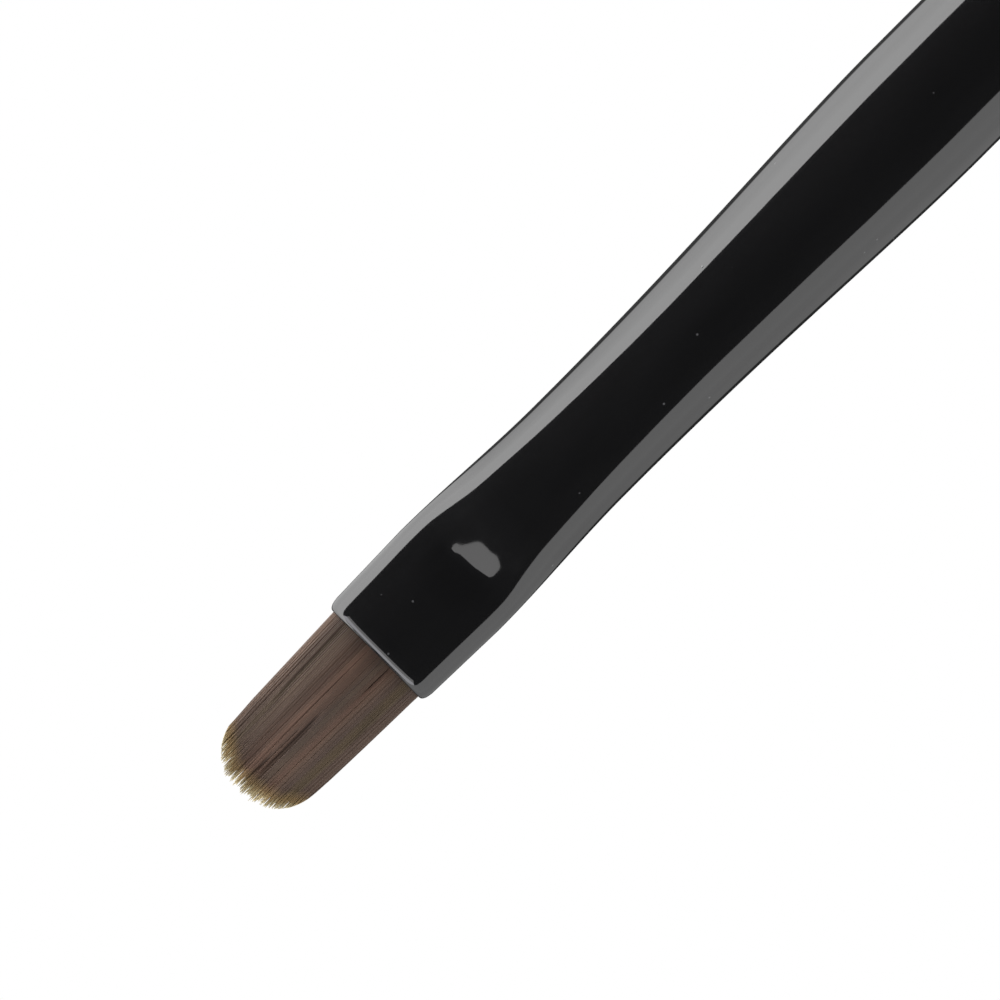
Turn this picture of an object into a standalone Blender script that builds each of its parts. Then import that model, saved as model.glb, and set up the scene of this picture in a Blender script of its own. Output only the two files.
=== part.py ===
"""Small filbert detail brush, built the way a brush maker builds one.

A bundle of synthetic filaments is tied round with thread at its roots, set in resin inside a seamless metal
ferrule whose mouth is pressed flat, and the ferrule is glued and crimped onto the tenon of a turned handle.

Metres, +Z up. The brush lies along X on a table: the tips of the filaments point to -X, the tail of the
handle to +X, and the flattened faces of the ferrule face +Z and -Z. The origin is on the table, under the
middle of the brush. Every station along the brush is a distance behind the ferrule's mouth, so the free
filaments are at negative stations.
"""

import math
from bisect import bisect_left

import bmesh
import bpy
from mathutils import Matrix

MM = 0.001

# Lengths along the brush.
TUFT_LENGTH = 7.0 * MM  # free filaments, from the mouth of the ferrule to their tips
FERRULE_LENGTH = 38.0 * MM
HANDLE_LENGTH = 125.0 * MM  # what shows of it, behind the ferrule

# Ferrule: an oval mouth and shoulder, a waist, then a long flare up to the handle's diameter. The press's
# jaws leave a short ramp behind the flattened end, and the rest of the oval fades out slowly behind it.
FERRULE_WALL = 0.25 * MM
MOUTH_WIDTH = 4.8 * MM
MOUTH_THICKNESS = 2.64 * MM
SHOULDER_WIDTH = 5.0 * MM  # the widest place of the flattened end
SHOULDER_AT = 3.7 * MM
JAW_SHARE = 0.4  # of the flattening, lost over the ramp
JAW_FROM = 4.4 * MM
JAW_UNTIL = 7.1 * MM
OVAL_FROM = 4.0 * MM
ROUND_AT = 16.0 * MM
WAIST_DIAMETER = 4.54 * MM
WAIST_FROM = 10.3 * MM
FLARE_FROM = 11.5 * MM
FLARE_UNTIL = 27.5 * MM
FLARE_EVEN_SHARE = 0.25  # of the flare, which grows evenly. The rest eases in late and out level
FLARE_LATENESS = 1.25
FERRULE_DIAMETER = 5.5 * MM  # at the handle

# Crimps that lock the ferrule into grooves of the tenon.
CRIMP_SETBACKS = (2.2 * MM, 4.2 * MM)  # middle of each groove, ahead of the ferrule's back edge
CRIMP_WIDTH = 1.0 * MM
CRIMP_DEPTH = 0.18 * MM

# Filaments: a filbert, with a rounded outline and a thin edge.
TUFT_MIDDLE_WIDTH = 3.95 * MM  # where the rounded end begins
TUFT_ROUNDED_LENGTH = 2.0 * MM
TUFT_EDGE_THICKNESS = 0.5 * MM

# Binding thread round the roots, which it pulls into a circle.
TIE_FROM = 11.0 * MM
THREAD_DIAMETER = 0.2 * MM
THREAD_PITCH = 0.24 * MM
THREAD_TURNS = 4
TIE_MARGIN = 0.2 * MM  # of roots, ahead of the thread and behind it

# Resin, and the glue round the tenon.
RESIN_FROM = 1.6 * MM
RESIN_ROUND_THREAD = 0.12 * MM
RESIN_BEHIND_ROOTS = 2.0 * MM
AIR_GAP = 1.6 * MM  # left between the resin and the tenon
TENON_GAP = 0.14 * MM
TENON_CHAMFER = 0.5 * MM
GLUE_SETBACK = 1.0 * MM  # of the glue, from the tenon's nose and from the nearest crimp's edge

# Handle.
BELLY_DIAMETER = 6.6 * MM
BELLY_SETBACK = 25.0 * MM  # behind the ferrule
TAIL_DIAMETER = 3.4 * MM
TAIL_ROUNDING = 0.6 * MM

# Clearances between pieces that touch, so that no two solids share space.
CLEARANCE = 0.02 * MM
THREAD_CLEARANCE = 0.05 * MM

# Facets of every round section. Flat facets face +Y, -Y, +Z and -Z, and touch the true round from outside.
FACETS = 24
FACET_REACH = 1 / math.cos(math.pi / FACETS)
FINE_SPACING = 0.9 * MM  # between sections where the shape changes fast
COARSE_SPACING = 3.0 * MM
CRIMP_STEPS = 4
LIP_STEPS = 4
ROUNDING_STEPS = 6
TAIL_STEPS = 3

# Places that follow from the sizes above.
BRUSH_LENGTH = TUFT_LENGTH + FERRULE_LENGTH + HANDLE_LENGTH
MOUTH_X = TUFT_LENGTH - BRUSH_LENGTH / 2
AXIS_HEIGHT = max(BELLY_DIAMETER, FERRULE_DIAMETER, MOUTH_THICKNESS) / 2
ROOTS_UNTIL = TIE_FROM + THREAD_TURNS * THREAD_PITCH + 2 * TIE_MARGIN
RESIN_UNTIL = ROOTS_UNTIL + RESIN_BEHIND_ROOTS
TENON_FROM = RESIN_UNTIL + AIR_GAP
CRIMPS = tuple(FERRULE_LENGTH - setback for setback in CRIMP_SETBACKS)
GLUE_FROM = TENON_FROM + GLUE_SETBACK
GLUE_UNTIL = min(CRIMPS) - CRIMP_WIDTH / 2 - GLUE_SETBACK


def remove_everything():
    for item in list(bpy.data.objects):
        bpy.data.objects.remove(item, do_unlink=True)


def share(value, start, end):
    """How far value lies from start to end, as 0 to 1."""
    return min(1.0, max(0.0, (value - start) / (end - start)))


def ease(t):
    """0 to 1 with a level start and end."""
    return t * t * (3 - 2 * t)


def mix(a, b, t):
    return a + (b - a) * t


def steps(start, end, spacing):
    """Evenly spaced values from start to end, no further apart than spacing."""
    count = max(1, math.ceil(abs(end - start) / spacing - 1e-9))
    return [mix(start, end, k / count) for k in range(count + 1)]


# Sections. Each is the half width and the half thickness of an ellipse at one station.


def crimp(station):
    """How far the ferrule is pressed in at a station."""
    depth = 0.0
    for middle in CRIMPS:
        away = abs(station - middle) / CRIMP_WIDTH
        if away < 0.5:
            depth += CRIMP_DEPTH * math.cos(math.pi * away) ** 2
    return depth


def crimp_stations(middle):
    return steps(middle - CRIMP_WIDTH / 2, middle + CRIMP_WIDTH / 2, CRIMP_WIDTH / CRIMP_STEPS)


def ferrule_width(station):
    if station < SHOULDER_AT:
        return mix(MOUTH_WIDTH, SHOULDER_WIDTH, share(station, 0, SHOULDER_AT))
    if station < FLARE_FROM:
        return mix(SHOULDER_WIDTH, WAIST_DIAMETER, ease(share(station, SHOULDER_AT, WAIST_FROM)))
    along = share(station, FLARE_FROM, FLARE_UNTIL)
    grown = mix(ease(along**FLARE_LATENESS), along, FLARE_EVEN_SHARE)
    return mix(WAIST_DIAMETER, FERRULE_DIAMETER, grown)


def ferrule_outside(station):
    jaws_left = 1 - ease(share(station, JAW_FROM, JAW_UNTIL))
    oval_left = 1 - ease(share(station, OVAL_FROM, ROUND_AT))
    flattening = (1 - MOUTH_THICKNESS / MOUTH_WIDTH) * mix(oval_left, jaws_left, JAW_SHARE)
    width = ferrule_width(station)
    pressed = crimp(station)
    return width / 2 - pressed, width * (1 - flattening) / 2 - pressed


def inset(section, by):
    half_width, half_thickness = section
    return half_width - by, half_thickness - by


def ferrule_inside(station):
    return inset(ferrule_outside(station), FERRULE_WALL)


def wall_stations():
    """Where the ferrule's wall has sections, from its lip to its back edge."""
    stations = steps(FERRULE_WALL / 2, FLARE_FROM, FINE_SPACING)
    stations += steps(FLARE_FROM, FLARE_UNTIL, COARSE_SPACING)[1:]
    for middle in CRIMPS:
        stations += crimp_stations(middle)
    # In order, because the flare may run on past a crimp.
    return [station for station in sorted(stations) if station < FERRULE_LENGTH] + [FERRULE_LENGTH]


def bore_stations(start, end):
    """The stations of a piece in the bore. It has sections where the wall has them, so its facets fit."""
    return [start] + [station for station in wall_stations() if start < station < end] + [end]


def bore(station):
    """The ferrule's inside as it is faceted, straight from one section of the wall to the next."""
    stations = wall_stations()
    following = max(1, bisect_left(stations, station))
    near, far = stations[following - 1], stations[following]
    along = share(station, near, far)
    return tuple(mix(a, b, along) for a, b in zip(ferrule_inside(near), ferrule_inside(far)))


def pocket_radius():
    """The room in the resin for the thread: as wide as the ferrule leaves where the tie begins."""
    return min(bore(TIE_FROM)) - CLEARANCE - RESIN_ROUND_THREAD


def tied_radius():
    return pocket_radius() - THREAD_DIAMETER - 2 * THREAD_CLEARANCE


def root_section(station):
    """The bundle fills the mouth, and narrows evenly to the tied circle."""
    if station >= TIE_FROM:
        return tied_radius(), tied_radius()
    along = share(station, 0, TIE_FROM)
    half_width, half_thickness = bore(station)
    end_width, end_thickness = bore(TIE_FROM)
    half_width -= mix(CLEARANCE, end_width - tied_radius(), along)
    half_thickness -= mix(CLEARANCE, end_thickness - tied_radius(), along)
    return half_width, half_thickness


def tuft_section(station):
    """The free filaments at a station from 0 at the mouth to -TUFT_LENGTH at the tips."""
    from_tip = station + TUFT_LENGTH
    mouth_width, mouth_thickness = root_section(0)
    straight = share(from_tip, TUFT_ROUNDED_LENGTH, TUFT_LENGTH)
    half_width = mix(TUFT_MIDDLE_WIDTH / 2, mouth_width, straight)
    half_thickness = mix(TUFT_EDGE_THICKNESS / 2, mouth_thickness, ease(share(from_tip, 0, TUFT_LENGTH)))
    blunt = 0.02  # keeps a narrow edge at the very tip
    rounded = mix(blunt, 1, share(from_tip, 0, TUFT_ROUNDED_LENGTH))
    return half_width * math.sqrt(1 - (1 - rounded) ** 2), half_thickness


def tenon_radius(station):
    return min(bore(station)) - TENON_GAP


def handle_radius(station):
    """The part of the handle that shows: flush with the ferrule, a belly, and a slim tail."""
    belly = FERRULE_LENGTH + BELLY_SETBACK
    tail = FERRULE_LENGTH + HANDLE_LENGTH
    if station < belly:
        return mix(FERRULE_DIAMETER, BELLY_DIAMETER, ease(share(station, FERRULE_LENGTH, belly))) / 2
    return mix(BELLY_DIAMETER, TAIL_DIAMETER, ease(share(station, belly, tail))) / 2


# Mesh building.


def ring(bm, station, section):
    """One loop of vertices across the brush."""
    half_width, half_thickness = section
    loop = []
    for k in range(FACETS):
        turn = 2 * math.pi * (k + 0.5) / FACETS
        y = FACET_REACH * half_width * math.cos(turn)
        z = FACET_REACH * half_thickness * math.sin(turn)
        loop.append(bm.verts.new((station, y, z)))
    return loop


def bridge(bm, loops):
    """Quads from each loop to the next."""
    for near, far in zip(loops, loops[1:]):
        for k in range(FACETS):
            following = (k + 1) % FACETS
            bm.faces.new((near[k], near[following], far[following], far[k]))


def loft(name, stations_and_sections, hollow):
    """A body through a list of sections. If hollow, the list runs back to its own start, round the wall."""
    bm = bmesh.new()
    loops = [ring(bm, station, section) for station, section in stations_and_sections]
    if hollow:
        bridge(bm, loops + loops[:1])
    else:
        bridge(bm, loops)
        bm.faces.new(loops[0])
        bm.faces.new(reversed(loops[-1]))
    bmesh.ops.recalc_face_normals(bm, faces=bm.faces)
    mesh = bpy.data.meshes.new(name)
    bm.to_mesh(mesh)
    bm.free()
    mesh.shade_smooth()
    mesh.set_sharp_from_angle(angle=math.radians(35))
    return bpy.data.objects.new(name, mesh)


def material(name, colour, roughness, metallic):
    made = bpy.data.materials.new(name)
    made.use_nodes = True
    shader = made.node_tree.nodes["Principled BSDF"]
    shader.inputs["Base Color"].default_value = (*colour, 1)
    shader.inputs["Roughness"].default_value = roughness
    shader.inputs["Metallic"].default_value = metallic
    made.diffuse_color = (*colour, 1)
    return made


def add(collection, axis, item, finish):
    """Puts a piece on the brush's axis, with its origin at the mouth's middle."""
    collection.objects.link(item)
    item.parent = axis
    item.data.materials.append(finish)
    return item


# Sub-parts.


def make_ferrule():
    """A tube: along the outside to the back edge, then along the inside to the rounded lip of the mouth."""
    lip = FERRULE_WALL / 2
    stations = wall_stations()
    sections = [(station, ferrule_outside(station)) for station in stations]
    sections += [(station, ferrule_inside(station)) for station in reversed(stations)]
    for turn in steps(0, math.pi, math.pi / LIP_STEPS)[1:-1]:
        depth = lip + lip * math.cos(turn)
        sections.append((lip - lip * math.sin(turn), inset(ferrule_outside(0), depth)))
    return loft("ferrule", sections, hollow=True)


def make_filament_tuft():
    """The free filaments, which bend as one soft body about the mouth."""
    stations = steps(-CLEARANCE, TUFT_ROUNDED_LENGTH - TUFT_LENGTH, FINE_SPACING)
    for turn in steps(0, math.pi / 2, math.pi / 2 / ROUNDING_STEPS)[1:]:
        stations.append(TUFT_ROUNDED_LENGTH * (1 - math.sin(turn)) - TUFT_LENGTH)
    return loft("filament_tuft", [(station, tuft_section(station)) for station in stations], hollow=False)


def make_filament_roots():
    """The same filaments inside the ferrule, held by the resin."""
    stations = bore_stations(CLEARANCE, TIE_FROM) + [ROOTS_UNTIL]
    return loft("filament_roots", [(station, root_section(station)) for station in stations], hollow=False)


def make_root_binding_thread():
    """Close turns of thread pulled round the roots."""
    radius = tied_radius() + THREAD_CLEARANCE + THREAD_DIAMETER / 2
    count = THREAD_TURNS * FACETS
    curve = bpy.data.curves.new("root_binding_thread", "CURVE")
    curve.dimensions = "3D"
    curve.bevel_depth = THREAD_DIAMETER / 2
    curve.bevel_resolution = 2
    curve.use_fill_caps = True
    spline = curve.splines.new("POLY")
    spline.points.add(count)
    for k, point in enumerate(spline.points):
        turn = 2 * math.pi * k / FACETS
        station = TIE_FROM + TIE_MARGIN + THREAD_PITCH * k / FACETS
        point.co = (station, radius * math.cos(turn), radius * math.sin(turn), 1)
    return bpy.data.objects.new("root_binding_thread", curve)


def make_root_resin():
    """Set resin: it fills the ferrule round the roots and thread, and closes behind them."""
    outside = bore_stations(RESIN_FROM, RESIN_UNTIL)
    inside = bore_stations(RESIN_FROM, TIE_FROM)[:-1]
    sections = [(station, inset(bore(station), CLEARANCE)) for station in reversed(outside)]
    sections += [(station, inset(root_section(station), -CLEARANCE)) for station in inside]
    sections.append((TIE_FROM, (pocket_radius(), pocket_radius())))
    sections.append((ROOTS_UNTIL + CLEARANCE, (pocket_radius(), pocket_radius())))
    return loft("root_resin", sections, hollow=False)


def make_tenon_glue():
    """The film of glue between the tenon and the ferrule."""
    stations = bore_stations(GLUE_FROM, GLUE_UNTIL)
    sections = [(station, inset(bore(station), CLEARANCE)) for station in stations]
    film = TENON_GAP - CLEARANCE
    sections += [(station, inset(bore(station), film)) for station in reversed(stations)]
    return loft("tenon_glue", sections, hollow=True)


def make_handle():
    """Turned in one piece with its tenon. The profile runs from the tail to the tenon's nose."""
    tail = FERRULE_LENGTH + HANDLE_LENGTH
    belly = FERRULE_LENGTH + BELLY_SETBACK
    shoulder = FERRULE_LENGTH + CLEARANCE
    profile = [(tail, 0.0)]
    for turn in steps(math.pi / 2, 0, math.pi / 2 / TAIL_STEPS):
        inward = TAIL_ROUNDING * (1 - math.cos(turn))
        profile.append((tail - TAIL_ROUNDING * (1 - math.sin(turn)), TAIL_DIAMETER / 2 - inward))
    shown = steps(tail - TAIL_ROUNDING, belly, 2 * COARSE_SPACING)[1:]
    shown += steps(belly, shoulder, 2 * COARSE_SPACING)[1:]
    profile += [(station, handle_radius(station)) for station in shown]
    tenon = []
    for middle in sorted(CRIMPS, reverse=True):
        tenon += reversed(crimp_stations(middle))
    tenon += reversed(bore_stations(GLUE_FROM, GLUE_UNTIL))
    tenon.append(TENON_FROM + TENON_CHAMFER)
    profile.append((shoulder, tenon_radius(FERRULE_LENGTH)))
    profile += [(station, tenon_radius(station)) for station in tenon]
    profile.append((TENON_FROM, tenon_radius(TENON_FROM) - TENON_CHAMFER))
    profile.append((TENON_FROM, 0.0))

    mesh = bpy.data.meshes.new("handle")
    points = [(radius * FACET_REACH, 0, station) for station, radius in profile]
    edges = [(k, k + 1) for k in range(len(points) - 1)]
    mesh.from_pydata(points, edges, [])
    handle = bpy.data.objects.new("handle", mesh)
    turning = handle.modifiers.new("turned", "SCREW")
    turning.axis = "Z"
    turning.steps = FACETS
    turning.render_steps = FACETS
    turning.use_merge_vertices = True
    turning.merge_threshold = 0.01 * MM
    turning.use_smooth_shade = True
    # The lathe's axis is laid along the brush, and a facet turned to face down.
    lay_down = Matrix.Rotation(math.pi / 2, 4, "Y") @ Matrix.Rotation(math.pi / FACETS, 4, "Z")
    handle.matrix_local = lay_down
    return handle


def main():
    remove_everything()
    collection = bpy.data.collections.new("filbert_detail_brush")
    bpy.context.scene.collection.children.link(collection)
    axis = bpy.data.objects.new("brush_axis", None)
    axis.empty_display_size = 10 * MM
    axis.location = (MOUTH_X, 0, AXIS_HEIGHT)
    collection.objects.link(axis)

    black_paint = material("black_ferrule_paint", (0.010, 0.010, 0.011), 0.12, 0.0)
    black_lacquer = material("black_handle_lacquer", (0.011, 0.010, 0.010), 0.10, 0.0)
    filament = material("brown_filament", (0.115, 0.075, 0.055), 0.45, 0.0)
    thread = material("binding_thread", (0.55, 0.53, 0.48), 0.8, 0.0)
    resin = material("clear_resin", (0.62, 0.48, 0.26), 0.2, 0.0)
    glue = material("tenon_glue", (0.78, 0.74, 0.62), 0.35, 0.0)

    add(collection, axis, make_ferrule(), black_paint)
    add(collection, axis, make_filament_tuft(), filament)
    add(collection, axis, make_filament_roots(), filament)
    add(collection, axis, make_root_binding_thread(), thread)
    add(collection, axis, make_root_resin(), resin)
    add(collection, axis, make_tenon_glue(), glue)
    add(collection, axis, make_handle(), black_lacquer)


main()
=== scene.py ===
"""The looks of the filbert detail brush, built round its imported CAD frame."""

import math
import random

import bpy
import numpy as np
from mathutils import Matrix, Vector, noise


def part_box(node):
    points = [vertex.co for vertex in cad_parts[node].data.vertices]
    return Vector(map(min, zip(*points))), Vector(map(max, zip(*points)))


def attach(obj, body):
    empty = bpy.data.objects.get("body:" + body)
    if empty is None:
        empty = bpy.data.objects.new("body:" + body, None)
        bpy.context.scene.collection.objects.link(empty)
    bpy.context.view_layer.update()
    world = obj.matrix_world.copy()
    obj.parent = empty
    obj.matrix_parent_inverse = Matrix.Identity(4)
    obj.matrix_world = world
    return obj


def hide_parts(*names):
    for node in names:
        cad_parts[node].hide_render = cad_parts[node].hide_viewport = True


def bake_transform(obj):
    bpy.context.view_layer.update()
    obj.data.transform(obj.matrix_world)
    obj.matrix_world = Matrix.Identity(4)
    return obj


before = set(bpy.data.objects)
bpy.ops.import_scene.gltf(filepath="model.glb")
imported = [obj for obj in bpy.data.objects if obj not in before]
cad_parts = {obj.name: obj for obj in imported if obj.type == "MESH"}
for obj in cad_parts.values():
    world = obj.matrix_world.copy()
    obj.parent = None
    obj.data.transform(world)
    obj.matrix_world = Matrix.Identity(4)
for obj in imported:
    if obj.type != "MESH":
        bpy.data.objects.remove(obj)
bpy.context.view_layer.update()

MM = 0.001  # lengths are in metres, unless a comment says millimetres

# The view: straight down on the flattened face, with the brush running up to the right.
VIEW_TURN = math.radians(45.0)  # of the brush's axis in the picture, above the horizontal
VIEW_WIDTH = 35.7 * MM  # of the plane through the brush's axis
VIEW_BEHIND_MOUTH = 7.03 * MM  # the middle of the view, along the brush
VIEW_ASIDE = 0.76 * MM  # and across it, to +Y
LENS = 180.0
SENSOR = 36.0

# Places read from the frame.
ferrule_low, ferrule_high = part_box("ferrule")
tuft_low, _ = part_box("filament_tuft")
_, roots_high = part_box("filament_roots")
thread_low, thread_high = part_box("root_binding_thread")
handle_low, handle_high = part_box("handle")
MOUTH_X = ferrule_low.x
AXIS_Z = (ferrule_low.z + ferrule_high.z) / 2
FERRULE_LENGTH = ferrule_high.x - ferrule_low.x
FERRULE_DIAMETER = ferrule_high.y - ferrule_low.y
TUFT_LENGTH = MOUTH_X - tuft_low.x
ROOTS_UNTIL = roots_high.x - MOUTH_X
TAIL_AT = handle_high.x - MOUTH_X
TENON_FROM = handle_low.x - MOUTH_X
BELLY_DIAMETER = handle_high.y - handle_low.y

# The ferrule's shape, as stations behind its mouth. It matches the CAD ferrule.
FERRULE_WALL = 0.25 * MM
MOUTH_WIDTH = 4.8 * MM
MOUTH_THICKNESS = 2.64 * MM
SHOULDER_WIDTH = 5.0 * MM
SHOULDER_AT = 3.7 * MM
JAW_SHARE = 0.4  # of the flattening, which ends at the press's jaws. The rest eases out slowly
JAW_FROM = 4.4 * MM
JAW_UNTIL = 7.1 * MM
OVAL_FROM = 4.0 * MM
ROUND_AT = 16.0 * MM
WAIST_DIAMETER = 4.54 * MM
WAIST_FROM = 10.3 * MM
FLARE_FROM = 11.5 * MM
FLARE_UNTIL = 27.5 * MM
FLARE_EVEN_SHARE = 0.25  # of the flare, which grows evenly. The rest eases in and out
FLARE_LATENESS = 1.25
CRIMPS = tuple(FERRULE_LENGTH - setback for setback in (2.2 * MM, 4.2 * MM))
CRIMP_WIDTH = 1.0 * MM
CRIMP_DEPTH = 0.18 * MM
MOUTH_DIP = 0.06 * MM  # how far the pressed faces draw back in the middle of the mouth
DIP_FADES_BY = 2.0 * MM
LIP_ROUNDING = 0.21 * MM  # of the lip's outer corner, in the wall's thickness
LIP_LENGTH = 0.42 * MM  # and along the brush
EDGE_ROUNDING = 0.05 * MM  # of the ferrule's back edge and of the handle's shoulder

# A shallow dent that the press left in the upper face. Its back wall is the steep one.
DENT_WALL_FROM = 4.6 * MM
DENT_WALL_SKEW = -0.12  # how far the wall runs back for each step to +Y
DENT_WALL_LENGTH = 1.0 * MM  # in its middle
DENT_WALL_SHORTER = 0.45  # share of it lost at the dent's sides
DENT_DEPTH = 0.108 * MM
DENT_FROM = 2.8 * MM
DENT_HALF_FLOOR = 0.70 * MM  # across the brush, where it is at its full depth
DENT_HALF_WIDTH = 1.35 * MM
DENT_WANDER = 0.10 * MM  # of the wall's foot
DENT_WANDER_LENGTH = 0.5 * MM  # across the brush
DENT_RIPPLE = 0.003 * MM  # of its floor
DENT_RIPPLE_LENGTH = 0.36 * MM

# The handle's shape.
BELLY_AT = FERRULE_LENGTH + 25.0 * MM
TAIL_DIAMETER = 3.4 * MM
TAIL_ROUNDING = 0.6 * MM
TENON_GAP = 0.14 * MM  # from the ferrule's bore, filled by the glue
TENON_CHAMFER = 0.5 * MM
SEAT_GAP = 0.02 * MM  # from the ferrule's back edge to the handle's shoulder

# The tuft and its tied roots.
THREAD_DIAMETER = 0.2 * MM
THREAD_CLEAR = 0.05 * MM  # between the thread and the roots
TIE_FROM = 11.0 * MM
TIED_RADIUS = (thread_high.y - thread_low.y) / 2 - THREAD_DIAMETER - THREAD_CLEAR
ROOTS_FROM = 0.35 * MM
ROOTS_STEP = 0.35 * MM  # between the bundle's sections
ROOTS_CLEAR = 0.03 * MM  # between the roots and the ferrule's bore, at the mouth
ROOTS_RIDGE = 0.024  # depth of the ridges, as a share of the section
TUFT_MIDDLE_WIDTH = 3.95 * MM
TUFT_ROUNDED_LENGTH = 2.0 * MM
TUFT_EDGE_THICKNESS = 0.5 * MM

AROUND = 160  # vertices round every turned or lofted piece
FINE, MIDDLING, COARSE = 0.12 * MM, 0.5 * MM, 1.0 * MM  # spacings of its sections
CRIMP_SPACING = 0.06 * MM


def share(value, start, end):
    """How far value lies from start to end, as 0 to 1."""
    return min(1.0, max(0.0, (value - start) / (end - start)))


def ease(t):
    return t * t * (3 - 2 * t)


def mix(a, b, t):
    return a + (b - a) * t


def steps(start, end, spacing):
    count = max(1, math.ceil(abs(end - start) / spacing - 1e-9))
    return [mix(start, end, k / count) for k in range(count + 1)]


# Sections: half width and half thickness of an ellipse at a station.


def crimp(station):
    depth = 0.0
    for middle in CRIMPS:
        away = abs(station - middle) / CRIMP_WIDTH
        if away < 0.5:
            depth += CRIMP_DEPTH * math.cos(math.pi * away) ** 2
    return depth


def ferrule_width(station):
    if station < SHOULDER_AT:
        return mix(MOUTH_WIDTH, SHOULDER_WIDTH, share(station, 0, SHOULDER_AT))
    if station < FLARE_FROM:
        return mix(SHOULDER_WIDTH, WAIST_DIAMETER, ease(share(station, SHOULDER_AT, WAIST_FROM)))
    along = share(station, FLARE_FROM, FLARE_UNTIL)
    grown = mix(ease(along**FLARE_LATENESS), along, FLARE_EVEN_SHARE)
    return mix(WAIST_DIAMETER, FERRULE_DIAMETER, grown)


def ferrule_outside(station):
    jaws_left = 1 - ease(share(station, JAW_FROM, JAW_UNTIL))
    oval_left = 1 - ease(share(station, OVAL_FROM, ROUND_AT))
    flattening = (1 - MOUTH_THICKNESS / MOUTH_WIDTH) * mix(oval_left, jaws_left, JAW_SHARE)
    width = ferrule_width(station)
    pressed = crimp(station)
    return width / 2 - pressed, width * (1 - flattening) / 2 - pressed


def dent(station, aside):
    """How deep the press's mark is at a point of the upper face."""
    wander = noise.noise(Vector((aside / DENT_WANDER_LENGTH, 0, 0.5)))
    wall_from = DENT_WALL_FROM + DENT_WALL_SKEW * aside + DENT_WANDER * wander
    wall_length = DENT_WALL_LENGTH * (1 - DENT_WALL_SHORTER * min(1.0, abs(aside) / DENT_HALF_WIDTH) ** 2)
    climbed = 1 - (1 - share(station, wall_from, wall_from + wall_length)) ** 2
    sunk = ease(share(station, DENT_FROM, wall_from))
    across = 1 - ease(share(abs(aside), DENT_HALF_FLOOR, DENT_HALF_WIDTH))
    ripple = DENT_RIPPLE * noise.noise(Vector((station, aside, 0)) / DENT_RIPPLE_LENGTH)
    ripple *= sunk * (1 - share(station, wall_from, 2 * wall_from))
    return (DENT_DEPTH * (sunk - climbed) + ripple) * across


def inset(section, by):
    half_width, half_thickness = section
    return half_width - by, half_thickness - by


def ferrule_inside(station):
    return inset(ferrule_outside(station), FERRULE_WALL)


def tenon_radius(station):
    return min(ferrule_inside(station)) - TENON_GAP


def handle_radius(station):
    if station < BELLY_AT:
        return mix(FERRULE_DIAMETER, BELLY_DIAMETER, ease(share(station, FERRULE_LENGTH, BELLY_AT))) / 2
    return mix(BELLY_DIAMETER, TAIL_DIAMETER, ease(share(station, BELLY_AT, TAIL_AT))) / 2


# Mesh building.


def loop_points(station, section):
    """Points of one section, as an array."""
    half_width, half_thickness = section
    turn = 2 * np.pi * np.arange(AROUND) / AROUND
    y, z = half_width * np.cos(turn), half_thickness * np.sin(turn)
    return np.stack([np.full(AROUND, MOUTH_X + station), y, AXIS_Z + z], axis=1)


def add_object(name, data):
    made = bpy.data.objects.new(name, data)
    bpy.context.scene.collection.objects.link(made)
    return made


def add_mesh(name, points, faces):
    """A smooth-shaded mesh, as an object."""
    mesh = bpy.data.meshes.new(name)
    mesh.from_pydata(points, [], faces)
    mesh.update()
    mesh.shade_smooth()
    return add_object(name, mesh)


def mesh_from_loops(name, loops, hollow):
    """A body through loops of points. A hollow one closes on its own first loop, others get two caps."""
    count = len(loops)
    faces = []
    for row in range(count if hollow else count - 1):
        here, there = row * AROUND, (row + 1) % count * AROUND
        for k in range(AROUND):
            following = (k + 1) % AROUND
            faces.append((here + k, there + k, there + following, here + following))
    if not hollow:
        faces.append(tuple(range(AROUND)))
        faces.append(tuple((count - 1) * AROUND + k for k in reversed(range(AROUND))))
    return add_mesh(name, np.concatenate(loops).tolist(), faces)


# Materials.

PAINT_BLACK = (0.0058, 0.0058, 0.0060)
LACQUER_BLACK = (0.0058, 0.0055, 0.0053)
ORANGE_PEEL = 0.003 * MM
RESIN_COLOURS = ((0.50, 0.36, 0.16), (0.66, 0.50, 0.26))
GLUE_COLOURS = ((0.72, 0.68, 0.55), (0.84, 0.80, 0.69))


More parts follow.
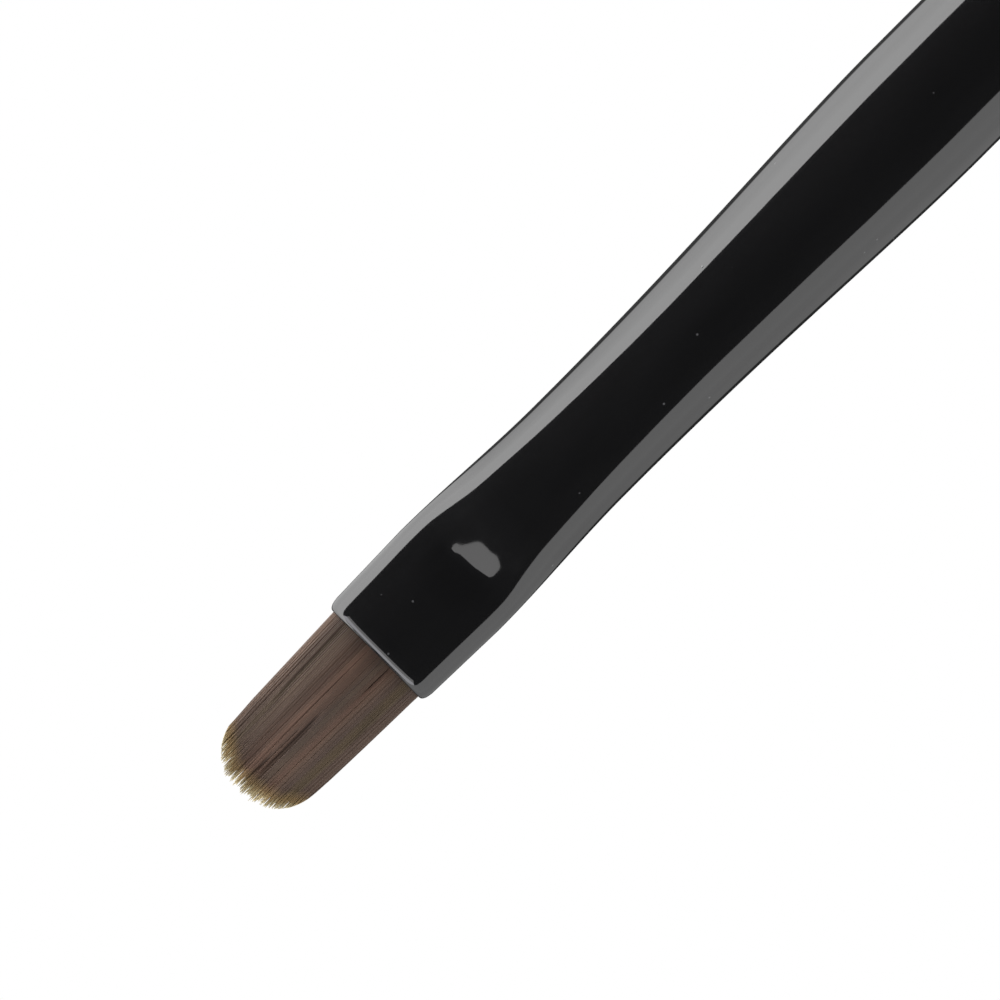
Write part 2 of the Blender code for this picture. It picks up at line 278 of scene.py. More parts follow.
class Nodes:
    """Short calls for building a material's nodes."""

    def __init__(self, name):
        self.material = bpy.data.materials.new(name)
        self.material.use_nodes = True
        self.tree = self.material.node_tree
        self.tree.nodes.clear()
        self.output = self.tree.nodes.new("ShaderNodeOutputMaterial")

    def new(self, kind, **settings):
        node = self.tree.nodes.new("ShaderNode" + kind)
        for key, value in settings.items():
            setattr(node, key, value)
        return node

    def link(self, source, target):
        self.tree.links.new(source, target)

    def put(self, socket, value):
        """Joins a socket to an output, or sets it to a constant."""
        if isinstance(value, bpy.types.NodeSocket):
            self.link(value, socket)
        else:
            socket.default_value = value

    def maths(self, operation, a, b=0.0, c=0.0, clamp=False):
        node = self.new("Math", operation=operation, use_clamp=clamp)
        for socket, value in zip(node.inputs, (a, b, c)):
            self.put(socket, value)
        return node.outputs[0]

    def blend(self, factor, a, b):
        """Colour a at factor 0, b at factor 1."""
        node = self.new("Mix", data_type="RGBA")
        self.put(node.inputs["Factor"], factor)
        self.put(node.inputs[6], a)
        self.put(node.inputs[7], b)
        return node.outputs[2]

    def between(self, value, low, high):
        """Low at value 0, high at value 1."""
        return self.maths("MULTIPLY_ADD", value, high - low, low)

    def cells(self, where, scale):
        """A cell pattern's node."""
        node = self.new("TexVoronoi", feature="F1")
        self.link(where, node.inputs["Vector"])
        node.inputs["Scale"].default_value = scale
        return node

    def axes(self, where):
        """The three parts of a place."""
        node = self.new("SeparateXYZ")
        self.link(where, node.inputs["Vector"])
        return node.outputs

    def ramp(self, value, stops):
        """Stops are (place, number or colour)."""
        node = self.new("ValToRGB")
        elements = node.color_ramp.elements
        while len(elements) < len(stops):
            elements.new(0.5)
        for element, (place, colour) in zip(elements, stops):
            element.position = place
            element.color = (colour,) * 3 + (1,) if isinstance(colour, (int, float)) else (*colour, 1)
        self.put(node.inputs["Fac"], value)
        return node.outputs["Color"]

    def millimetres(self, stretch=(1, 1, 1)):
        """The piece's own coordinates in millimetres, each times a stretch."""
        place = self.new("TexCoord").outputs["Object"]
        node = self.new("Mapping")
        self.link(place, node.inputs["Vector"])
        node.inputs["Scale"].default_value = [s / MM for s in stretch]
        return node.outputs["Vector"]

    def noise(self, where, scale, detail=2.0, roughness=0.5):
        node = self.new("TexNoise")
        self.link(where, node.inputs["Vector"])
        node.inputs["Scale"].default_value = scale
        node.inputs["Detail"].default_value = detail
        node.inputs["Roughness"].default_value = roughness
        return node.outputs["Fac"]

    def bump(self, height, distance, strength=1.0, below=None):
        node = self.new("Bump")
        node.inputs["Strength"].default_value = strength
        node.inputs["Distance"].default_value = distance
        self.link(height, node.inputs["Height"])
        if below is not None:
            self.link(below, node.inputs["Normal"])
        return node.outputs["Normal"]

    def attribute(self, name):
        node = self.new("Attribute", attribute_name=name)
        return node.outputs["Fac"]

    def principled(self, **inputs):
        """Input names use _ for spaces."""
        node = self.new("BsdfPrincipled")
        for key, value in inputs.items():
            self.put(node.inputs[key.replace("_", " ")], value)
        self.link(node.outputs["BSDF"], self.output.inputs["Surface"])
        return self.material


def black_gloss(name, tint, peel, bare_until=None):
    """Sprayed black paint or lacquer: deep, with orange peel, dust nibs and faint rubbed patches.

    Up to bare_until along the brush, the wood under it is bare.
    """
    n = Nodes(name)
    place = n.millimetres()
    along = n.millimetres((0.25, 1, 1))
    patches = n.noise(along, scale=0.9, detail=4.0, roughness=0.6)
    darker, lighter = [c * 0.8 for c in tint], [c * 1.3 for c in tint]
    colour = n.blend(patches, (*darker, 1), (*lighter, 1))
    # Dust nibs: a fifth of the cells of a fine pattern hold one.
    cells = n.cells(place, scale=1.6)
    chosen = n.new("SeparateColor")
    n.link(cells.outputs["Color"], chosen.inputs["Color"])
    rare = n.maths("GREATER_THAN", chosen.outputs["Red"], 0.80)
    nib = n.ramp(cells.outputs["Distance"], ((0.0, 1.0), (0.05, 0.75), (0.09, 0.0)))
    nib = n.maths("MULTIPLY", nib, rare)
    dust = (0.16, 0.16, 0.165, 1)
    colour = n.blend(n.maths("MULTIPLY", nib, 0.5), colour, dust)
    rough = n.between(n.noise(along, scale=2.2, detail=5.0, roughness=0.65), 0.035, 0.085)
    nib_roughness = 0.25
    rough = n.maths("MULTIPLY_ADD", nib, nib_roughness, rough)
    if bare_until is not None:
        grain = n.noise(n.millimetres((0.06, 2.5, 2.5)), scale=1.0, detail=6.0, roughness=0.65)
        wood = n.ramp(grain, (
            (0.25, (0.42, 0.28, 0.15)),
            (0.60, (0.62, 0.46, 0.28)),
            (0.85, (0.72, 0.57, 0.38)),
        ))
        wood_roughness = 0.7
        bare = n.maths("LESS_THAN", n.axes(place)["X"], bare_until / MM)
        colour = n.blend(bare, colour, wood)
        rough = n.maths("MAXIMUM", rough, n.maths("MULTIPLY", bare, wood_roughness))
    waves = n.bump(n.noise(along, scale=1.1, detail=2.0, roughness=0.5), peel)
    normal = n.bump(nib, distance=0.004 * MM, strength=0.6, below=waves)
    return n.principled(Base_Color=colour, Roughness=rough, IOR=1.5, Normal=normal)


def filament_material(name):
    """Satin synthetic filaments: streaks of brown, mauve and olive, with golden ends. Their tone also holds
    painted shade at the mouth and in the grooves.
    """
    n = Nodes(name)
    tone, hue, gold, end = (n.attribute(layer) for layer in ("tone", "hue", "gold", "end"))
    browns = n.ramp(hue, (
        (0.00, (0.086, 0.048, 0.033)),
        (0.30, (0.075, 0.046, 0.031)),
        (0.50, (0.079, 0.052, 0.039)),
        (0.72, (0.073, 0.052, 0.028)),
        (1.00, (0.086, 0.051, 0.036)),
    ))
    dark_brown = (0.052, 0.033, 0.023, 1)
    golden = (0.225, 0.150, 0.062, 1)
    pale_tip = (0.46, 0.40, 0.24, 1)
    grain = n.noise(n.millimetres((0.4, 14, 14)), scale=1.0, detail=2.0, roughness=0.5)
    browns = n.blend(n.maths("MULTIPLY", grain, 0.25), browns, dark_brown)
    body = n.blend(gold, browns, golden)
    body = n.blend(n.ramp(end, ((0.80, 0.0), (1.0, 1.0))), body, pale_tip)
    patches = n.noise(n.millimetres((0.22, 1.5, 1.5)), scale=1.0, detail=2.0, roughness=0.5)
    shaded = n.new("HueSaturation")
    n.link(body, shaded.inputs["Color"])
    n.put(shaded.inputs["Value"], n.maths("MULTIPLY", tone, n.between(patches, 0.50, 1.40)))
    return n.principled(
        Base_Color=shaded.outputs["Color"],
        Roughness=n.between(grain, 0.45, 0.60),
        IOR=1.5,
        Specular_IOR_Level=0.2,
        Normal=n.bump(grain, distance=0.004 * MM, strength=0.4),
    )


def root_material(name):
    n = Nodes(name)
    streaks = n.noise(n.millimetres((0.15, 11, 11)), scale=1.0, detail=3.0, roughness=0.6)
    colour = n.ramp(streaks, ((0.3, (0.035, 0.022, 0.016)), (0.7, (0.16, 0.10, 0.07))))
    return n.principled(Base_Color=colour, Roughness=0.5, Normal=n.bump(streaks, 0.02 * MM))


def thread_material(name):
    """Waxed two-ply thread, with its twist across every turn."""
    n = Nodes(name)
    twist = n.new("TexWave", wave_type="BANDS", bands_direction="DIAGONAL")
    n.link(n.millimetres(), twist.inputs["Vector"])
    twist.inputs["Scale"].default_value = 3.0
    twist.inputs["Distortion"].default_value = 1.5
    fuzz = n.noise(n.millimetres(), scale=25.0, detail=4.0)
    colour = n.blend(fuzz, (0.42, 0.39, 0.33, 1), (0.66, 0.63, 0.56, 1))
    height = n.maths("MULTIPLY_ADD", fuzz, 0.4, twist.outputs["Fac"])
    return n.principled(Base_Color=colour, Roughness=0.85, Normal=n.bump(height, 0.02 * MM))


def resin_material(name, colours, roughness):
    """Set resin or glue, clouded, with small bubbles."""
    n = Nodes(name)
    place = n.millimetres()
    cloud = n.noise(place, scale=0.8, detail=4.0, roughness=0.6)
    bubbles = n.cells(place, scale=3.0)
    pit = n.ramp(bubbles.outputs["Distance"], ((0.05, 0.0), (0.16, 1.0)))
    colour = n.blend(cloud, (*colours[0], 1), (*colours[1], 1))
    rough = n.between(cloud, roughness, roughness + 0.2)
    return n.principled(Base_Color=colour, Roughness=rough, Normal=n.bump(pit, 0.03 * MM))


def lit_material(name, seen, strength):
    """A white glow of strength(n). The camera sees it at seen instead, if that is given."""
    n = Nodes(name)
    light = n.new("Emission")
    light.inputs["Color"].default_value = (1, 1, 1, 1)
    if seen is None:
        n.put(light.inputs["Strength"], strength(n))
    else:
        path = n.new("LightPath").outputs["Is Camera Ray"]
        chosen = n.new("Mix", data_type="FLOAT")
        n.link(path, chosen.inputs["Factor"])
        n.put(chosen.inputs[2], strength(n))
        n.put(chosen.inputs[3], seen)
        n.link(chosen.outputs[0], light.inputs["Strength"])
    n.link(light.outputs["Emission"], n.output.inputs["Surface"])
    return n.material


# Pieces.


def make_ferrule():
    """The painted tube, with its rounded lip, the press's dent and the two crimps."""
    edge = EDGE_ROUNDING
    inner_edge = FERRULE_WALL - LIP_ROUNDING  # rounding of the lip's inner corner
    crimps_from = CRIMPS[1] - CRIMP_WIDTH
    outside = steps(LIP_LENGTH, FLARE_FROM, FINE)
    outside += steps(FLARE_FROM, crimps_from, MIDDLING)[1:]
    outside += steps(crimps_from, FERRULE_LENGTH - edge, CRIMP_SPACING)[1:]
    inside = steps(FERRULE_LENGTH - edge, inner_edge, MIDDLING)
    quarter_turn = steps(0, math.pi / 2, math.pi / 8)[1:]
    sections = [(station, ferrule_outside(station)) for station in outside]
    for turn in quarter_turn:
        depth = edge * (1 - math.cos(turn))
        station = FERRULE_LENGTH - edge + edge * math.sin(turn)
        sections.append((station, inset(ferrule_outside(station), depth)))
    sections.append((FERRULE_LENGTH, inset(ferrule_outside(FERRULE_LENGTH), FERRULE_WALL - edge)))
    sections += [(station, ferrule_inside(station)) for station in inside]
    for turn in quarter_turn:
        depth = FERRULE_WALL - inner_edge * (1 - math.cos(turn))
        sections.append((inner_edge * (1 - math.sin(turn)), inset(ferrule_outside(0), depth)))
    for turn in steps(0, math.pi / 2, math.pi / 24)[1:-1]:
        depth = LIP_ROUNDING * (1 - math.sin(turn))
        sections.append((LIP_LENGTH * (1 - math.cos(turn)), inset(ferrule_outside(0), depth)))
    loops = []
    for station, section in sections:
        points = loop_points(station, section)
        across = points[:, 1] / (MOUTH_WIDTH / 2)
        fade = 1 - ease(share(station, 0, DIP_FADES_BY))
        points[:, 0] += MOUTH_DIP * fade * np.clip(1 - across**2, 0, 1)
        if section[1] == ferrule_outside(station)[1]:  # only the outside is dented
            upper = np.clip((points[:, 2] - AXIS_Z) / section[1], 0, 1)
            points[:, 2] -= upper * [dent(station, aside) for aside in points[:, 1]]
        loops.append(points)
    return mesh_from_loops("painted_ferrule", loops, hollow=True)


def make_handle():
    """The turned handle, with its rounded tail, and the tenon inside the ferrule."""
    shoulder = FERRULE_LENGTH + SEAT_GAP
    profile = []
    for turn in steps(math.pi / 2, 0, math.pi / 16):
        inward = TAIL_ROUNDING * (1 - math.cos(turn))
        profile.append((TAIL_AT - TAIL_ROUNDING * (1 - math.sin(turn)), TAIL_DIAMETER / 2 - inward))
    for station in steps(TAIL_AT - TAIL_ROUNDING, shoulder + 2 * EDGE_ROUNDING, COARSE)[1:]:
        profile.append((station, handle_radius(station)))
    for turn in steps(0, math.pi / 2, math.pi / 8):
        inward = EDGE_ROUNDING * (1 - math.cos(turn))
        profile.append((shoulder + EDGE_ROUNDING * (1 - math.sin(turn)), FERRULE_DIAMETER / 2 - inward))
    tenon = steps(shoulder, CRIMPS[1] - CRIMP_WIDTH, FINE)
    tenon += steps(CRIMPS[1] - CRIMP_WIDTH, TENON_FROM + TENON_CHAMFER, COARSE)[1:]
    profile += [(station, tenon_radius(min(station, FERRULE_LENGTH))) for station in tenon]
    profile.append((TENON_FROM, tenon_radius(TENON_FROM) - TENON_CHAMFER))
    loops = [loop_points(station, (radius, radius)) for station, radius in reversed(profile)]
    return mesh_from_loops("turned_handle", loops, hollow=False)


def make_roots():
    """The bundle inside the ferrule, ridged by its outermost filaments."""
    tied = (TIED_RADIUS, TIED_RADIUS)
    loops = []
    for station in steps(ROOTS_FROM, ROOTS_UNTIL, ROOTS_STEP):
        half_width, half_thickness = tied
        if station < TIE_FROM:
            along = share(station, 0, TIE_FROM)
            inside, end = ferrule_inside(station), ferrule_inside(TIE_FROM)
            half_width = inside[0] - mix(ROOTS_CLEAR, end[0] - tied[0], along)
            half_thickness = inside[1] - mix(ROOTS_CLEAR, end[1] - tied[1], along)
        points = loop_points(station, (half_width, half_thickness))
        ridges = 1 - ROOTS_RIDGE / 2 * (1 + np.cos(np.arange(AROUND) * np.pi))
        points[:, 1] *= ridges
        points[:, 2] = AXIS_Z + (points[:, 2] - AXIS_Z) * ridges
        loops.append(points)
    return mesh_from_loops("bound_roots", loops, hollow=False)


# The strands, and how they are packed in the mouth.
SEED = 11
STRAND_SPACING = 0.066 * MM
STRAND_RADIUS = 0.054 * MM
STRAND_CLEAR = 0.01 * MM  # between the outermost and the ferrule
STRAND_SIDES = 6
STRAND_FLATTENED = 0.5  # by the wet shaping that sets the tuft, so the strands lie close
STRAND_FROM = 0.6 * MM  # inside the mouth
STRAND_STEP = 0.5 * MM  # between its rings of vertices
LAYER_DEPTH = 0.058 * MM
OUTLINE_POINTS = 721  # for measuring the length of a layer's outline
UNEVEN_SPACING = 0.22  # share of the spacing, to either side
UNEVEN_DEPTH = (-0.12, 0.06)  # shares of a layer's depth
BOW = 0.014 * MM  # spread of the strands' sideways bow, and of their lean

# Their lengths and tips.
FULL_LAYERS = 4  # of the outermost, which reach the tips. The ones inside end sooner, where the tuft thins
INNER_LENGTHS = (0.55, 0.75)  # shares of the full length
TIP_ZONE = 1.5 * MM  # over which a filament tapers and leans to its clump
TIP_RINGS = (0.8, 0.6, 0.42, 0.28, 0.16, 0.07, 0.02)  # shares of the tip zone that are left
TIP_RADIUS_SHARE = 0.14
SIDES_CURVE_IN = 0.93  # how far out, of the half width, a filament's end lies
WEDGE = 0.36 * MM  # how much shorter the filaments of the upper and lower faces are, at most
WEDGE_LEAST = 0.3  # share of it
LENGTH_SPREAD = 0.12 * MM
LONGER = 0.20 * MM  # all of them, before they are cut to the tuft's length
SIDES_EVEN = 0.7  # share of the unevenness lost at the tuft's sides

# Clumps and the finer wisps in them, apart for the lower, middle and upper filaments.
LEVELS = 3
CLUMP_WIDTHS = (0.26 * MM, 0.60 * MM)
WISP_WIDTHS = (0.10 * MM, 0.20 * MM)
POINTED_BY = 0.09 * MM  # how much longer the middle of a clump is than its sides
WISP_POINTED = 0.4  # share of that, for wisps
CLUMP_SHORTER = 0.06 * MM  # the shortest clump
WISP_SHORTER = 0.10 * MM
CLUMP_PULL = 0.10  # how far the tips lean to the clump's middle, as a share of the way
WISP_PULL = 0.30

# Their colours.
TONE_LANES = (0.12 * MM, 0.42 * MM)
HUE_LANES = (0.15 * MM, 0.45 * MM)
TONE_DARKEST = 0.80
TONE_RANGE = 0.40
TONE_SPREAD = 0.015  # between neighbours
SIDES_PALER = 0.10
HUE_SPREAD = 0.06
GOLD_FROM = 0.95 * MM  # ahead of the tips, where filaments begin to turn golden
GOLD_BY = 0.42 * MM  # and where they have
GOLD_EARLIER = 0.95 * MM  # at the tuft's sides
GOLD_UNEVEN = 0.12 * MM
# Painted shadow of the lip: the filaments are drawn darker where they leave the mouth.
MOUTH_SHADE = 0.35  # how much darker the filaments are where they leave the mouth
MOUTH_SHADE_FROM = 0.15 * MM
MOUTH_SHADE_UNTIL = 0.6 * MM

# Grooves between the filaments, along the tuft, with painted shade in them.
GROOVES = 9
GROOVE_STARTS = (-0.1, 0.7)  # shares of the tuft's length
GROOVE_LENGTHS = (0.25, 0.6)
GROOVE_PLACES = (-0.8, 0.8)  # shares of its half width
GROOVE_HALF_WIDTH = 0.04 * MM
GROOVE_DEPTH = 0.08 * MM
GROOVE_FADES_OVER = 0.8 * MM
# Painted shade: how much darker the filaments lying in a groove are drawn.
GROOVE_SHADE = 0.28


class Lanes:
    """Random values at uneven places across the tuft.

    A smooth curve joins them, and the space between two neighbours is a lane.
    """

    def __init__(self, rng, widths):
        reach = 1.2 * TUFT_MIDDLE_WIDTH
        self.places, self.values = [-reach], [rng.random()]
        while self.places[-1] < reach:
            self.places.append(self.places[-1] + rng.uniform(*widths))
            self.values.append(rng.random())

    def at(self, y):
        """The curve's value."""
        k = int(np.searchsorted(self.places, y))
        before, after = self.places[k - 1], self.places[k]
        return mix(self.values[k - 1], self.values[k], ease(share(y, before, after)))

    def cell(self, y):
        """The middle, the half width and the value of the lane that holds y."""
        k = int(np.searchsorted(self.places, y))
        before, after = self.places[k - 1], self.places[k]
        return (before + after) / 2, (after - before) / 2, self.values[k]


def strand_roots(rng):
    """Places of the filaments in the mouth, each as shares of its half width and half thickness.

    They lie in layers, one inside the other, and a little disturbed.
    """
    half_width, half_thickness = inset(ferrule_inside(0), STRAND_RADIUS + STRAND_CLEAR)
    turns = np.linspace(0, 2 * np.pi, OUTLINE_POINTS)
    places = []
    for layer in range(int(half_thickness / LAYER_DEPTH)):
        width, thickness = half_width - layer * LAYER_DEPTH, half_thickness - layer * LAYER_DEPTH
        # As many as fit round the layer, evenly along its outline.
        outline = [width * np.cos(turns), thickness * np.sin(turns)]
        walked = np.concatenate([[0], np.cumsum(np.hypot(*np.diff(outline)))])
        count = int(walked[-1] / STRAND_SPACING)
        for k in range(count):
            shift = rng.uniform(-UNEVEN_SPACING, UNEVEN_SPACING)
            at = walked[-1] * ((k + shift + 0.5 * (layer % 2)) % count) / count
            turn = float(np.interp(at, walked, turns))
            lift = rng.uniform(*UNEVEN_DEPTH) * LAYER_DEPTH
            y, z = (width + lift) * math.cos(turn), (thickness + lift) * math.sin(turn)
            places.append((y / half_width, z / half_thickness, layer))
    return places, half_width, half_thickness


def make_grooves(rng, half_width):
    """Each groove's place across the tuft, and where along it the groove starts and ends."""
    grooves = []
    for _ in range(GROOVES):
        start = rng.uniform(*GROOVE_STARTS) * TUFT_LENGTH
        place = rng.uniform(*GROOVE_PLACES) * half_width
        grooves.append((place, start, start + rng.uniform(*GROOVE_LENGTHS) * TUFT_LENGTH))
    return grooves


def groove_at(grooves, y, d):
    """How deep in a groove a filament lies, as 0 to 1."""
    deepest = 0.0
    for place, start, end in grooves:
        near = 1 - ease(share(abs(y - place), GROOVE_HALF_WIDTH * 0.5, GROOVE_HALF_WIDTH * 1.5))
        along = ease(share(d, start, start + GROOVE_FADES_OVER))
        along *= 1 - ease(share(d, end - GROOVE_FADES_OVER, end))
        deepest = max(deepest, near * along)
    return deepest


def make_filaments():
    """Every filament as a tapered strand, cut to a rounded outline and gathered in pointed clumps."""
    rng = random.Random(SEED)
    roots, mouth_half_width, mouth_half_thickness = strand_roots(rng)
    middle = TUFT_MIDDLE_WIDTH / 2 - STRAND_RADIUS
    straight = TUFT_LENGTH - TUFT_ROUNDED_LENGTH
    tones, hues = Lanes(rng, TONE_LANES), Lanes(rng, HUE_LANES)
    clumps = [Lanes(rng, CLUMP_WIDTHS) for _ in range(LEVELS)]
    wisps = [Lanes(rng, WISP_WIDTHS) for _ in range(LEVELS)]
    grooves = make_grooves(rng, middle)
    turn = 2 * np.pi * np.arange(STRAND_SIDES) / STRAND_SIDES
    around = np.stack([np.zeros(STRAND_SIDES), np.cos(turn), STRAND_FLATTENED * np.sin(turn)], axis=1)
    points, faces = [], []
    layers = {"tone": [], "hue": [], "gold": [], "end": []}

    def colour(copies, *values):
        for recorded, value in zip(layers.values(), values):
            recorded.extend([value] * copies)

    for u, v, layer in roots:
        # The strand's length.
        y_end = u * middle
        level = min(LEVELS - 1, int((v + 1) * LEVELS / 2))
        clump_middle, clump_half, clump_value = clumps[level].cell(y_end)
        wisp_middle, wisp_half, wisp_value = wisps[level].cell(y_end)
        shorter = POINTED_BY * abs(y_end - clump_middle) / clump_half + CLUMP_SHORTER * clump_value
        shorter += POINTED_BY * WISP_POINTED * abs(y_end - wisp_middle) / wisp_half
        shorter += WISP_SHORTER * wisp_value
        shorter += WEDGE * v * v * rng.uniform(WEDGE_LEAST, 1.0) + abs(rng.gauss(0, LENGTH_SPREAD)) - LONGER
        outline = TUFT_ROUNDED_LENGTH * (1 - math.sqrt(1 - min(1.0, abs(u) * SIDES_CURVE_IN) ** 2))
        length = min(TUFT_LENGTH, TUFT_LENGTH - outline - shorter * (1 - SIDES_EVEN * u**4))
        if layer >= FULL_LAYERS:
            length *= rng.uniform(*INNER_LENGTHS)

        # Its colours and its own bend.
        earlier = GOLD_EARLIER * u * u + GOLD_UNEVEN * (wisp_value - 0.5)
        gold_from, gold_by = TUFT_LENGTH - GOLD_FROM - earlier, TUFT_LENGTH - GOLD_BY - earlier
        tone = TONE_DARKEST + TONE_RANGE * tones.at(y_end) + rng.gauss(0, TONE_SPREAD) + SIDES_PALER * u * u
        hue = min(1.0, max(0.0, hues.at(y_end) + rng.gauss(0, HUE_SPREAD)))
        bow, lean = rng.gauss(0, BOW), rng.gauss(0, BOW)

        # Its rings of vertices, from inside the mouth to the tip.
        stations = [-STRAND_FROM] + steps(0, length - TIP_ZONE, STRAND_STEP)
        stations += [length - TIP_ZONE * left for left in TIP_RINGS]
        first = len(points)
        for d in stations:
            reach = share(d, 0, TUFT_LENGTH)
            tip = share(d, length - TIP_ZONE, length)
            y = u * mix(mouth_half_width, middle, share(d, 0, straight))
            z = v * mix(TUFT_EDGE_THICKNESS / 2, mouth_half_thickness, ease(1 - reach))
            pull = ease(tip)
            y += CLUMP_PULL * pull * (clump_middle - y_end) + WISP_PULL * pull * (wisp_middle - y_end)
            y += bow * math.sin(math.pi * reach) + lean * reach * reach
            radius = STRAND_RADIUS * mix(1.0, TIP_RADIUS_SHARE, tip)
            rounded = 1 - share(TUFT_LENGTH - d, 0, TUFT_ROUNDED_LENGTH)
            edge = TUFT_MIDDLE_WIDTH / 2 * math.sqrt(1 - rounded**2) - radius
            if d > straight and abs(y) > edge:
                y = math.copysign(max(0.0, edge), y)
            sunk = groove_at(grooves, y_end, d)
            z -= math.copysign(min(GROOVE_DEPTH, abs(z)) * sunk * abs(v), z)
            points += (around * radius + (MOUTH_X - d, y, AXIS_Z + z)).tolist()
            # The ring's tone takes a painted shadow near the mouth and painted shade in the grooves.
            shaded = MOUTH_SHADE * (1 - share(d, MOUTH_SHADE_FROM, MOUTH_SHADE_UNTIL)) * (1 - u**4)
            ring_tone_with_painted_shade = tone * (1 - GROOVE_SHADE * sunk) * (1 - shaded)
            colour(STRAND_SIDES, ring_tone_with_painted_shade, hue, share(d, gold_from, gold_by), tip)
        points.append((MOUTH_X - length, y, AXIS_Z + z))
        colour(1, tone, hue, share(length, gold_from, gold_by), 1.0)
        last = first + (len(stations) - 1) * STRAND_SIDES
        for k in range(STRAND_SIDES):
            following = (k + 1) % STRAND_SIDES
            for here in range(first, last, STRAND_SIDES):
                there = here + STRAND_SIDES
                faces.append((here + k, here + following, there + following, there + k))
            faces.append((last + k, last + following, last + STRAND_SIDES))
        faces.append(tuple(first + k for k in reversed(range(STRAND_SIDES))))
    made = add_mesh("filaments", points, faces)
    for name, values in layers.items():
        made.data.attributes.new(name, "FLOAT", "POINT").data.foreach_set("value", values)
    return made


# Studio: a pale glowing table, a reflector along each side, and two softboxes ahead of the tips.

TABLE_HALF = 1.5
REFLECTOR_AT = 0.15  # from the brush's axis
REFLECTOR_HALF_LENGTH = 0.5
LEFT_RISE = math.radians(17.5)  # how high each reflector reaches, seen from the brush
RIGHT_RISE = math.radians(23.5)
RIGHT_LEVEL = 0.36  # of the left one's light

# The table's glow at distances from the axis, in millimetres. It is dark close under the brush: a painted
# shadow of the brush in the glow.
GLOW = (
    (0.0, 0.05), (4.9, 0.10), (5.5, 1.45), (6.2, 1.65), (8.0, 2.4),
    (10.5, 3.05), (17.0, 4.0), (31.0, 4.75), (60.0, 5.3),
)
REFLECTOR_LEVELS = (5.4, 6.4)  # the left one's, at its foot and at its top
REFLECTOR_FOOT = 1.0 * MM  # above the table
TABLE_SEEN = 1.0  # by the camera
WORLD_SEEN = 1.0
WORLD_LIGHT = 0.03

# The softboxes: their upper and lower edges, as angles from straight up towards the tips, their radiance
# and their colour.
SOFTBOXES = (
    ("upper_softbox", math.radians(30), math.radians(46), 2.6, (1.0, 0.99, 0.99)),
    ("lower_softbox", math.radians(46), math.radians(74), 5.5, (0.95, 0.95, 1.0)),
)
SOFTBOX_AWAY = 0.40
SOFTBOX_WIDTH = 1.0

# The dark strip of table under the brush, a painted shadow, is narrower under the mouth. These are what
# distances from the axis are multiplied by, there and further back on each side.
STRIP_AT_MOUTH = 1.3
STRIP_LEFT = 0.94
STRIP_RIGHT = 1.05
STRIP_NARROW_UNTIL = 2.6  # in millimetres behind the mouth
STRIP_WIDENS_OVER = 5.6


def table_glow(n):
    """The table's light, from the distance to the brush's axis."""
    place = n.axes(n.millimetres())
    side = place["Y"]
    left = n.maths("GREATER_THAN", side, 0.0)
    behind = n.maths("SUBTRACT", place["X"], MOUTH_X / MM + STRIP_NARROW_UNTIL)
    behind = n.maths("DIVIDE", behind, STRIP_WIDENS_OVER, clamp=True)
    further = n.maths("MULTIPLY_ADD", left, STRIP_LEFT - STRIP_RIGHT, STRIP_RIGHT - STRIP_AT_MOUTH)
    wider = n.maths("MULTIPLY_ADD", behind, further, STRIP_AT_MOUTH)
    reach = n.maths("DIVIDE", n.maths("ABSOLUTE", side), GLOW[-1][0])
    reach = n.maths("MULTIPLY", reach, wider, clamp=True)
    level = n.ramp(reach, [(at / GLOW[-1][0], glow / GLOW[-1][1]) for at, glow in GLOW])
    sides = n.between(left, RIGHT_LEVEL, 1.0)
    return n.maths("MULTIPLY", n.maths("MULTIPLY", level, sides), GLOW[-1][1])


def sheet_of(name, corners, material):
    mesh = bpy.data.meshes.new(name)
    mesh.from_pydata(corners, [], [tuple(range(len(corners)))])
    mesh.materials.append(material)
    made = add_object(name, mesh)
    return made


def make_table_and_reflectors():
    size = TABLE_HALF
    corners = [(-size, -size, 0), (size, -size, 0), (size, size, 0), (-size, size, 0)]
    sheet_of("table", corners, lit_material("table_glow", TABLE_SEEN, table_glow))

    for name, side, rise, level in (("left", 1, LEFT_RISE, 1.0), ("right", -1, RIGHT_RISE, RIGHT_LEVEL)):
        top = AXIS_Z + REFLECTOR_AT * math.tan(rise)

        def strength(n, top=top, level=level):
            height = n.maths("DIVIDE", n.axes(n.millimetres())["Z"], top / MM, clamp=True)
            return n.between(height, *(each * level for each in REFLECTOR_LEVELS))

        y, half, foot = side * REFLECTOR_AT, REFLECTOR_HALF_LENGTH, REFLECTOR_FOOT
        corners = [(-half, y, foot), (half, y, foot), (half, y, top), (-half, y, top)]
        card = sheet_of(f"{name}_reflector", corners, lit_material(f"{name}_reflector", None, strength))
        card.visible_camera = False


def make_world():
    """A dim world that the camera sees as white."""
    world = bpy.data.worlds.new("studio")
    world.use_nodes = True
    tree = world.node_tree
    background = tree.nodes["Background"]
    background.inputs["Color"].default_value = (1, 1, 1, 1)
    path = tree.nodes.new("ShaderNodeLightPath")
    level = tree.nodes.new("ShaderNodeMix")
    level.data_type = "FLOAT"
    level.inputs[2].default_value = WORLD_LIGHT
    level.inputs[3].default_value = WORLD_SEEN
    tree.links.new(path.outputs["Is Camera Ray"], level.inputs["Factor"])
    tree.links.new(level.outputs[0], background.inputs["Strength"])
    bpy.context.scene.world = world


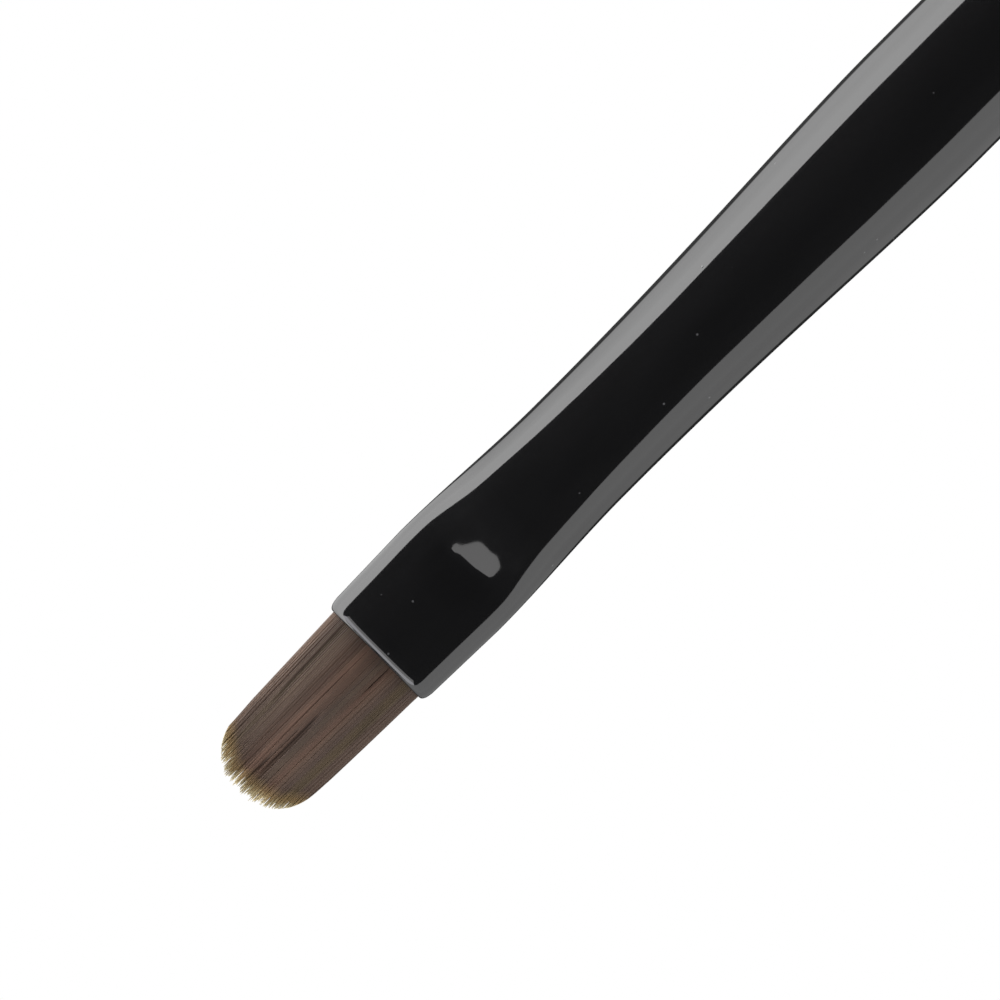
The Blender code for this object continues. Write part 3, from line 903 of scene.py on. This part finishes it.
def make_softboxes():
    for name, top, foot, radiance, colour in SOFTBOXES:
        lean = (top + foot) / 2
        lamp = bpy.data.lights.new(name, "AREA")
        lamp.shape = "RECTANGLE"
        lamp.size = SOFTBOX_WIDTH
        lamp.size_y = 2 * SOFTBOX_AWAY * math.tan((foot - top) / 2)
        lamp.energy = radiance * math.pi * lamp.size * lamp.size_y
        lamp.color = colour
        softbox = add_object(name, lamp)
        away = Vector((-math.sin(lean), 0, math.cos(lean))) * SOFTBOX_AWAY
        softbox.location = Vector((MOUTH_X, 0, AXIS_Z)) + away
        softbox.rotation_euler = (0, -lean, 0)
        softbox.rotation_euler.rotate_axis("Z", math.pi / 2)
        softbox.visible_camera = False


def make_camera():
    lens = bpy.data.cameras.new("camera")
    lens.lens = LENS
    lens.sensor_width = SENSOR
    lens.clip_start = 0.001
    lens.clip_end = 10
    camera = add_object("camera", lens)
    distance = VIEW_WIDTH * LENS / SENSOR
    camera.location = (MOUTH_X + VIEW_BEHIND_MOUTH, VIEW_ASIDE, AXIS_Z + distance)
    camera.rotation_euler = (0, 0, -VIEW_TURN)
    bpy.context.scene.camera = camera


def finish_piece(piece, body, node, material):
    piece.data.materials.clear()
    piece.data.materials.append(material)
    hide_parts(node)
    if body:
        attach(piece, body)


def recoat(node, material):
    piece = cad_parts[node]
    piece.data.materials.clear()
    piece.data.materials.append(material)


def main():
    make_camera()
    make_table_and_reflectors()
    make_world()
    make_softboxes()
    bpy.context.scene.view_settings.view_transform = "Standard"

    ferrule_paint = black_gloss("ferrule_paint", PAINT_BLACK, ORANGE_PEEL)
    finish_piece(make_ferrule(), "handle", "ferrule", ferrule_paint)
    lacquer = black_gloss("handle_lacquer", LACQUER_BLACK, ORANGE_PEEL, bare_until=ferrule_high.x)
    finish_piece(make_handle(), "handle", "handle", lacquer)
    finish_piece(make_roots(), "handle", "filament_roots", root_material("root_bundle"))

    filaments = make_filaments()
    finish_piece(filaments, None, "filament_tuft", filament_material("filaments"))
    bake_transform(filaments)

    recoat("root_binding_thread", thread_material("binding_thread"))
    recoat("root_resin", resin_material("root_resin", RESIN_COLOURS, roughness=0.12))
    recoat("tenon_glue", resin_material("tenon_glue", GLUE_COLOURS, roughness=0.35))


main()
